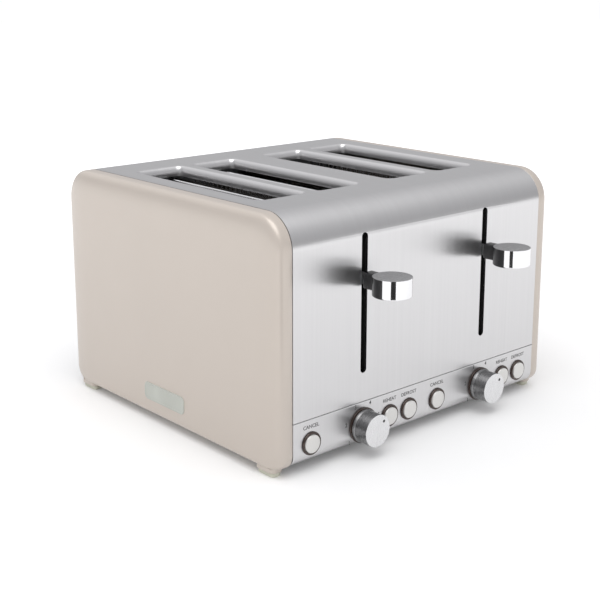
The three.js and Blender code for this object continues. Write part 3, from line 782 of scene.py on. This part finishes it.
class TOASTER_OT_skin(bpy.types.Operator):
    """Add the bent steel skin with rolled slot edges and lever slots"""
    bl_idname = "toaster.skin"
    bl_label = "Steel skin"

    def execute(self, context):
        s = sizes()
        sheet = Sheet()
        r = s.bend
        edge = 0.5 * MM  # narrow flat beside each bend
        ends = []
        for y, inward in ((FRONT_Y, 1), (BACK_Y, -1)):
            side = sheet.rows(y, inward, [
                (0, SKIN_LOW), (0, TOP_Z - r - edge),
                *((r - r * math.cos(t), TOP_Z - r + r * math.sin(t)) for t in quarter(20)),
                (r + edge, TOP_Z)])
            sheet.band(side)
            ends.append(side[-1])
        mouths = [self.mouth(sheet, x) for x in SLOT_X]
        sheet.flat(ends[0] + ends[1][::-1], mouths)

        mesh = dressed(self.slotted(sheet.thickened("skin", s.sheet, Vector((0, 0, 1)))), "steel")
        grain_map(mesh)
        settle("skin", mesh, "body", ["steel_skin"], sharp=40)
        self.liners()
        return {"FINISHED"}

    def slotted(self, skin):
        """The skin with the two lever slots cut through its front and into the bend."""
        s = sizes()
        half = s.lever_slot_w / 2
        bm = bmesh.new()
        for x in (-PAIR_X, PAIR_X):
            ring = corner_loop(x - half, s.lever_slot_low, x + half, s.lever_slot_high,
                               half * 0.999, 12)
            verts, faces = bridge([[Vector((u, FRONT_Y + y, v)) for u, v in ring]
                                   for y in (-2 * MM, 8 * MM)], True, True)
            fill(bm, verts, faces)
        bmesh.ops.recalc_face_normals(bm, faces=bm.faces[:])
        tool = link("slot_tool", to_mesh("slot_tool", bm))
        body = link("skin_body", skin)
        cut = body.modifiers.new("slots", "BOOLEAN")
        cut.operation = "DIFFERENCE"
        cut.solver = "EXACT"
        cut.object = tool
        mesh = plain(body, "skin")
        bpy.data.objects.remove(tool)
        return mesh

    def mouth(self, sheet, x):
        """Rolled edge of one bread slot; returns its outermost ring on the flat top."""
        s = sizes()

        def ring(grow, z):
            half_w, half_l = s.slot_w / 2 + grow, s.slot_l / 2 + grow
            points = corner_loop(x - half_w, MIDDLE_Y - half_l, x + half_w, MIDDLE_Y + half_l,
                                 s.slot_r + grow, 8)
            return sheet.loop([(u, v, z) for u, v in points])

        rings = [ring(s.roll_w + 0.4 * MM, TOP_Z)]
        rings += [ring(s.roll_w * (1 - math.sin(t)), TOP_Z - s.roll_h * (1 - math.cos(t)))
                  for t in quarter(9)]
        rings.append(ring(0, TOP_Z - s.lip))
        sheet.band(rings, around=True)
        return rings[0]

    def liners(self):
        """Black plastic channels behind the lever slots."""
        s = sizes()
        inner = s.lever_slot_w / 2 + 0.4 * MM
        for side, x in zip(SIDES, (-PAIR_X, PAIR_X)):
            parts = []
            for sign in (-1, 1):
                a, b = sorted((x + sign * inner, x + sign * (inner + 1.4 * MM)))
                block = rounded_block((a, FRONT_Y + 1.5 * MM, s.lever_slot_low - 2 * MM),
                                      (b, FRONT_Y + 8 * MM, s.lever_slot_high + 2 * MM), 0.3 * MM)
                parts.append((*block, "liner"))
            piece(f"lever_slot_liner_{side}", parts, "body")


def strip_sheet(name, front, holes):
    """Strip under the skin: turned in at the top, bent under at the bottom."""
    s = sizes()
    sheet = Sheet()
    r = s.strip_bend
    y, inward = (FRONT_Y, 1) if front else (BACK_Y, -1)
    under = sheet.rows(y, inward, [
        (r + 3 * MM, SKIRT_Z), (r, SKIRT_Z),
        *((r - r * math.sin(t), SKIRT_Z + r - r * math.cos(t)) for t in quarter(12, 1)),
        (0, SKIRT_Z + r + 0.3 * MM)])
    fold = sheet.rows(y, inward, [
        (0, STRIP_TOP - 0.9 * MM), (0, STRIP_TOP - 0.6 * MM), (0.15 * MM, STRIP_TOP - 0.2 * MM),
        (0.6 * MM, STRIP_TOP), (5.5 * MM, STRIP_TOP)])
    sheet.band(under)
    sheet.band(fold)
    loops = [sheet.loop([(u, y, v) for u, v in ring]) for ring in holes]
    sheet.flat(under[-1] + fold[0][::-1], loops)
    return sheet.thickened(name, s.strip * 0.6, Vector((0, -inward, 0)))


class TOASTER_OT_strips(bpy.types.Operator):
    """Add the control strip at the front and the plastic strip at the back"""
    bl_idname = "toaster.strips"
    bl_label = "Strips"

    def execute(self, context):
        s = sizes()
        holes = []
        for side in SIDES:
            holes.append(circle_loop(middle(f"dial_{side}").x, CONTROL_Z, 5 * MM, 32))
            for button in BUTTONS:
                x = middle(f"button_{button}_{side}").x
                holes.append(circle_loop(x, CONTROL_Z, s.ring_r - 0.7 * MM, 40))
        mesh = dressed(strip_sheet("control_strip", True, holes), "steel")
        grain_map(mesh)
        settle("control_strip", mesh, "body", ["control_panel"], sharp=40)

        openings = []
        for side in SIDES:
            low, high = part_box(f"crumb_tray_{side}")
            gap = 1.2 * MM
            openings.append(corner_loop(low.x + gap, low.z + gap, high.x - gap, high.z - gap,
                                        1.5 * MM, 4))
        gland = middle("cord_gland")
        openings.append(circle_loop(gland.x, gland.z, 6.4 * MM, 32))
        mesh = dressed(strip_sheet("rear_strip", False, openings), "black")
        settle("rear_strip", mesh, "body", ["rear_panel"], sharp=40)
        return {"FINISHED"}


# ---- controls -------------------------------------------------------------
def facing_front(x, z):
    """Places turned work with its height out of the front skin."""
    return lambda a, b, h: Vector((x + a, FRONT_Y - h, z + b))


def standing(x, y):
    """Places turned work with its height upwards."""
    return lambda a, b, h: Vector((x + a, y + b, h))


class TOASTER_OT_levers(bpy.types.Operator):
    """Add the two round lever knobs with their necks"""
    bl_idname = "toaster.levers"
    bl_label = "Lever knobs"

    def execute(self, context):
        s = sizes()
        for side in SIDES:
            low, high, mid = spans(f"lever_handle_{side}")
            x = mid.x
            centre_y = low.y + s.lever_r

            place = standing(x, centre_y)
            r = s.lever_r
            body = soften([(0, low.z), (r, low.z), (r, high.z - 0.02 * MM)], 0.7 * MM)
            body += soften([(r, high.z - 0.02 * MM), (r, high.z), (0, high.z)], 0.5 * MM)[1:]
            cut = [p for p in body if p[1] < high.z - 0.3 * MM]
            top = [p for p in body if p[1] >= high.z - 0.3 * MM]
            verts, faces = lathe([*cut, top[0]], place, 96)
            # the knob's wall behind this line is painted near-black as a dark reflection; the
            # front of the wall stays chrome
            rear = centre_y - 0.29 * r
            wall = {"chrome": [], "knob_back": []}
            for face in faces[:-1]:
                y = sum(verts[i].y for i in face) / len(face)
                wall["knob_back" if y > rear else "chrome"].append(face)
            parts = [(verts, some, key) for key, some in wall.items()]
            verts, faces = lathe(top, place, 96)
            parts.append((verts, faces[1:], "knob_top"))
            neck = rounded_block((x - 4.5 * MM, centre_y + 8 * MM, mid.z - 5.8 * MM),
                                 (x + 4.5 * MM, FRONT_Y - 2.5 * MM, mid.z + 5.8 * MM), 1.2 * MM, 4)
            piece(f"lever_knob_{side}", [*parts, (*neck, "knob_back")], f"lever_{side}",
                  [f"lever_handle_{side}"], sharp=40)
        return {"FINISHED"}


class TOASTER_OT_dials(bpy.types.Operator):
    """Add the browning dials, their dark collars and their pointer dots"""
    bl_idname = "toaster.dials"
    bl_label = "Dials"

    def execute(self, context):
        s = sizes()
        reach = FRONT_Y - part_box("dial_right")[0].y
        for side in SIDES:
            x = middle(f"dial_{side}").x
            place = facing_front(x, CONTROL_Z)
            r = s.dial_r
            face = reach - 0.02 * MM
            skirt = [(0, 1.8 * MM), (r + 0.5 * MM, 1.8 * MM), (r + 0.5 * MM, 3.4 * MM),
                     (r - 0.15 * MM, 4.1 * MM), (r, face - 0.6 * MM)]
            wall = soften(skirt, 0.35 * MM)
            rim = soften([(r, face - 0.6 * MM), (r, face), (0, face)], 0.5 * MM)
            verts, faces = lathe([*wall, *rim[1:5]], place, 96)
            # the side wall takes the darkened metal, a painted dark reflection
            wall_part = (verts, faces[:-1], "dial_wall_painted_reflection")
            verts, faces = lathe(rim[4:], place, 96)
            face_part = (verts, faces[1:], "dial_face")
            mark = 8.5 * MM * math.sqrt(0.5)
            dot = soften([(0, face - 0.3 * MM), (1.15 * MM, face - 0.3 * MM),
                          (1.15 * MM, face + 0.05 * MM), (0, face + 0.05 * MM)], 0.1 * MM, 3)
            dot_part = (*lathe(dot, facing_front(x + mark, CONTROL_Z + mark), 32), "ink")
            piece(f"dial_knob_{side}", [wall_part, face_part, dot_part], f"dial_{side}",
                  [f"dial_{side}"], sharp=40)
            ring = [(5 * MM, 0.3 * MM), (r + 1.2 * MM, 0.3 * MM), (r + 1.2 * MM, 1.3 * MM),
                    (r + 0.6 * MM, 1.5 * MM), (5 * MM, 1.5 * MM)]
            piece(f"dial_ring_{side}", [(*lathe(ring, place, 96, closed=True), "ring")], "body",
                  [f"dial_collar_{side}"])
        return {"FINISHED"}


class TOASTER_OT_buttons(bpy.types.Operator):
    """Add the push buttons and the dark rings round them"""
    bl_idname = "toaster.buttons"
    bl_label = "Buttons"

    def execute(self, context):
        s = sizes()
        proud = FRONT_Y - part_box("button_cancel_left")[0].y
        for side in SIDES:
            for button in BUTTONS:
                self.add(f"{button}_{side}", s, proud)
        return {"FINISHED"}

    def add(self, name, s, proud):
        x = middle(f"button_{name}").x
        place = facing_front(x, CONTROL_Z)
        r = s.button_r
        face = [(0, -4 * MM), (r, -4 * MM), (r, proud - 0.5 * MM)]
        dome = [(r * math.cos(t), proud - 0.5 * MM + 0.5 * MM * math.sin(t))
                for t in quarter(10, 1)]
        cap = soften(face, 0.3 * MM) + [Vector((max(a, 0), b)) for a, b in dome]
        piece(f"push_{name}", [(*lathe(cap, place, 64), "button")], f"button_{name}",
              [f"button_{name}"], sharp=50)
        inner = r + 0.3 * MM
        lip = soften([(inner, 0.3 * MM), (inner, 1.35 * MM), (s.ring_r - 0.5 * MM, 1.5 * MM),
                      (s.ring_r, 0.9 * MM), (s.ring_r, 0.3 * MM)], 0.3 * MM, 4)
        profile = [*lip, (s.ring_r - 1 * MM, 0.3 * MM), (s.ring_r - 1 * MM, -8 * MM),
                   (inner, -8 * MM)]
        piece(f"ring_{name}", [(*lathe(profile, place, 64, closed=True), "ring")], "body",
              [f"button_ring_{name}"], sharp=35)


class TOASTER_OT_lettering(bpy.types.Operator):
    """Print the button words and the dial numerals on the control strip"""
    bl_idname = "toaster.lettering"
    bl_label = "Lettering"

    def execute(self, context):
        rise = 12.4 * MM  # words above the middle of their buttons
        reach = 16.8 * MM  # numerals from the middle of their dial
        bm = bmesh.new()
        for side in SIDES:
            for button in BUTTONS:
                x = middle(f"button_{button}_{side}").x
                self.word(bm, button.upper(), x, CONTROL_Z + rise, 3.1 * MM)
            x = middle(f"dial_{side}").x
            for i, angle in enumerate((218, 167, 116, 64, 13, -38)):
                turn = math.radians(angle)
                self.word(bm, str(i + 1), x + reach * math.cos(turn),
                          CONTROL_Z + reach * math.sin(turn), 3.4 * MM)
        bmesh.ops.recalc_face_normals(bm, faces=bm.faces[:])
        settle("lettering", dressed(to_mesh("lettering", bm), "ink"), "body")
        return {"FINISHED"}

    def word(self, bm, text, x, z, height):
        curve = bpy.data.curves.new("word", "FONT")
        curve.body = text
        curve.align_x = "CENTER"
        curve.align_y = "CENTER"
        curve.size = height * 1.25
        curve.extrude = 0.03 * MM
        curve.offset = 0.02 * MM
        curve.resolution_u = 4
        mesh = plain(link("word", curve), "word")
        stand = Matrix.Rotation(math.pi / 2, 4, "X")
        mesh.transform(Matrix.Translation((x, FRONT_Y - 0.04 * MM, z)) @ stand)
        absorb(bm, mesh)


class TOASTER_OT_plaque(bpy.types.Operator):
    """Add the blank plaque on the left cap"""
    bl_idname = "toaster.plaque"
    bl_label = "Plaque"

    def execute(self, context):
        low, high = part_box("side_plaque")

        def ring(inset, x):
            return [Vector((x, u, v)) for u, v in corner_loop(
                low.y + inset, low.z + inset, high.y - inset, high.z - inset, 4 * MM - inset, 10)]

        out = low.x - 0.4 * MM
        rings = [ring(0, high.x), *(ring(inset * MM, out - rise * MM) for inset, rise in (
            (0, -0.1), (0.15, 0.2), (0.5, 0.35), (1.0, 0.35), (1.3, 0.1), (1.6, 0), (2.0, 0)))]
        piece("plaque", [(*bridge(rings, True, True), "plaque")], "body",
              ["side_plaque"])
        return {"FINISHED"}


class TOASTER_OT_feet(bpy.types.Operator):
    """Add the pale feet under the corners of the caps"""
    bl_idname = "toaster.feet"
    bl_label = "Feet"

    def execute(self, context):
        for row in ("front", "back"):
            for side in SIDES:
                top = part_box(f"foot_{row}_{side}")[1].z
                stack = foot_stack(row, side, [(-inset * MM, z) for inset, z in (
                    (2.6, 0), (1.3, 0), (0.9, 0.12 * MM), (0.55, 0.4 * MM), (0.3, 0.9 * MM),
                    (0.1, top - 0.3 * MM), (0.3, top))])
                piece(f"pad_{row}_{side}", [(*stack, "foot")], "body",
                      [f"foot_{row}_{side}"], sharp=45)
        return {"FINISHED"}


# ---- inside ---------------------------------------------------------------
class TOASTER_OT_guards(bpy.types.Operator):
    """Add the wire bread guards and the heating ribbon"""
    bl_idname = "toaster.guards"
    bl_label = "Guards and ribbon"

    def execute(self, context):
        s = sizes()
        for name in SLOT_NODES:
            low, high, mid = spans(f"bread_guard_{name}")
            lines = []
            half = 13.5 * MM
            y0, y1 = low.y + 3 * MM, high.y - 3 * MM
            for sign in (-1, 1):
                x = mid.x + sign * half
                lines.append((s.wire_count, (x, y0, mid.z),
                              (0, (y1 - y0) / (s.wire_count - 1), 0),
                              (s.wire_r, s.wire_r, high.z - low.z - 1.2 * MM), (0, 0, 0)))
                for z in (low.z + 1.3 * MM, high.z - 1.3 * MM):
                    lines.append((1, (x, mid.y, z), (0, 1, 0),
                                  (1.1 * MM, 1.1 * MM, high.y - low.y), (math.pi / 2, 0, 0)))
            lines.append((2, (mid.x, low.y + 1.2 * MM, high.z - 1.3 * MM),
                          (0, high.y - low.y - 2.4 * MM, 0), (1.1 * MM, 1.1 * MM, 2 * half),
                          (0, math.pi / 2, 0)))
            rows(f"guard_wires_{name}", "wire", lines, "wire", "body",
                 [f"bread_guard_{name}"])
        for side in SIDES:
            for which in BOARDS:
                low, high, mid = spans(f"heating_board_{side}_{which}")
                step = (high.z - low.z - 12 * MM) / (s.ribbon_count - 1)
                lines = [(s.ribbon_count, (x, mid.y, low.z + 6 * MM), (0, 0, step),
                          (0.16 * MM, high.y - low.y - 14 * MM, 1.8 * MM), (0, 0, 0))
                         for x in (low.x - 0.1 * MM, high.x + 0.1 * MM)]
                rows(f"ribbon_{side}_{which}", "bar", lines, "ribbon", "body")
        return {"FINISHED"}


class TOASTER_OT_racks(bpy.types.Operator):
    """Add the bread racks with their toothed supports"""
    bl_idname = "toaster.racks"
    bl_label = "Bread racks"

    def execute(self, context):
        for name in SLOT_NODES:
            low, high, mid = spans(f"bread_rack_{name}")
            spine = rounded_block((mid.x - 0.75 * MM, low.y, low.z),
                                  (mid.x + 0.75 * MM, high.y, high.z - 0.6 * MM), 0.3 * MM)
            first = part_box(f"bread_guard_{name}")[0].y + 14 * MM
            lines = [(12, (mid.x, first, high.z - 1.2 * MM), (0, 13 * MM, 0),
                      (17 * MM, 1.8 * MM, 1.6 * MM), (0, 0, 0))]
            side = name.split("_")[0]
            rows(f"rack_{name}", "bar", lines, "zinc", f"lever_{side}",
                 [f"bread_rack_{name}"], extra=[spine])
        return {"FINISHED"}


class TOASTER_OT_works(bpy.types.Operator):
    """Give the inner and rear CAD pieces their finishes and add the screws"""
    bl_idname = "toaster.works"
    bl_label = "Works and screws"

    def execute(self, context):
        paint("zinc", "front_wall", "back_wall", "crumb_tray_left", "crumb_tray_right",
              "carriage_left", "carriage_right")
        paint("black", "base_plate", "cord_gland", "browning_pot_left", "browning_pot_right")
        for side in SIDES:
            # the heating boards take the darkened mica, painted shade inside the slots
            paint("mica", *(f"heating_board_{side}_{which}" for which in BOARDS))
            paint("circuit", f"circuit_board_{side}")
            paint("copper", f"latch_magnet_{side}")
            paint("chrome", f"guide_rod_{side}")
            paint("wire", f"return_spring_{side}")
        lines = [(3, (x, FRONT_Y + 30 * MM, SKIRT_Z), (0, 102 * MM, 0),
                  (3.2 * MM, 3.2 * MM, 0.9 * MM), (0, 0, 0)) for x in (-118 * MM, 118 * MM)]
        rows("base_screws", "screw", lines, "zinc", "body")
        return {"FINISHED"}


class TOASTER_PT_sidebar(bpy.types.Panel):
    """Lists the pieces of the toaster with their sizes and colours"""
    bl_idname = "TOASTER_PT_sidebar"
    bl_label = "Toaster"
    bl_space_type = "VIEW_3D"
    bl_region_type = "UI"
    bl_category = "Toaster"

    def draw(self, context):
        for operator in PIECES:
            self.layout.operator(operator.bl_idname)
        for group in (context.scene.toaster_sizes, context.scene.toaster_colours):
            box = self.layout.box()
            for key in group.__annotations__:
                box.prop(group, key)


PIECES = (TOASTER_OT_stage, TOASTER_OT_end_caps, TOASTER_OT_skin, TOASTER_OT_strips,
          TOASTER_OT_levers, TOASTER_OT_dials, TOASTER_OT_buttons, TOASTER_OT_lettering,
          TOASTER_OT_plaque, TOASTER_OT_feet, TOASTER_OT_guards, TOASTER_OT_racks,
          TOASTER_OT_works)
CLASSES = (ToasterSizes, ToasterColours, *PIECES, TOASTER_PT_sidebar)


def register():
    for cls in CLASSES:
        bpy.utils.register_class(cls)
    bpy.types.Scene.toaster_sizes = PointerProperty(type=ToasterSizes)
    bpy.types.Scene.toaster_colours = PointerProperty(type=ToasterColours)


def unregister():
    del bpy.types.Scene.toaster_colours
    del bpy.types.Scene.toaster_sizes
    for cls in reversed(CLASSES):
        bpy.utils.unregister_class(cls)


def main():
    register()
    bpy.ops.toaster.stage()
    bpy.ops.toaster.end_caps()
    bpy.ops.toaster.skin()
    bpy.ops.toaster.strips()
    bpy.ops.toaster.levers()
    bpy.ops.toaster.dials()
    bpy.ops.toaster.buttons()
    bpy.ops.toaster.lettering()
    bpy.ops.toaster.plaque()
    bpy.ops.toaster.feet()
    bpy.ops.toaster.guards()
    bpy.ops.toaster.racks()
    bpy.ops.toaster.works()


if __name__ == "__main__":
    main()
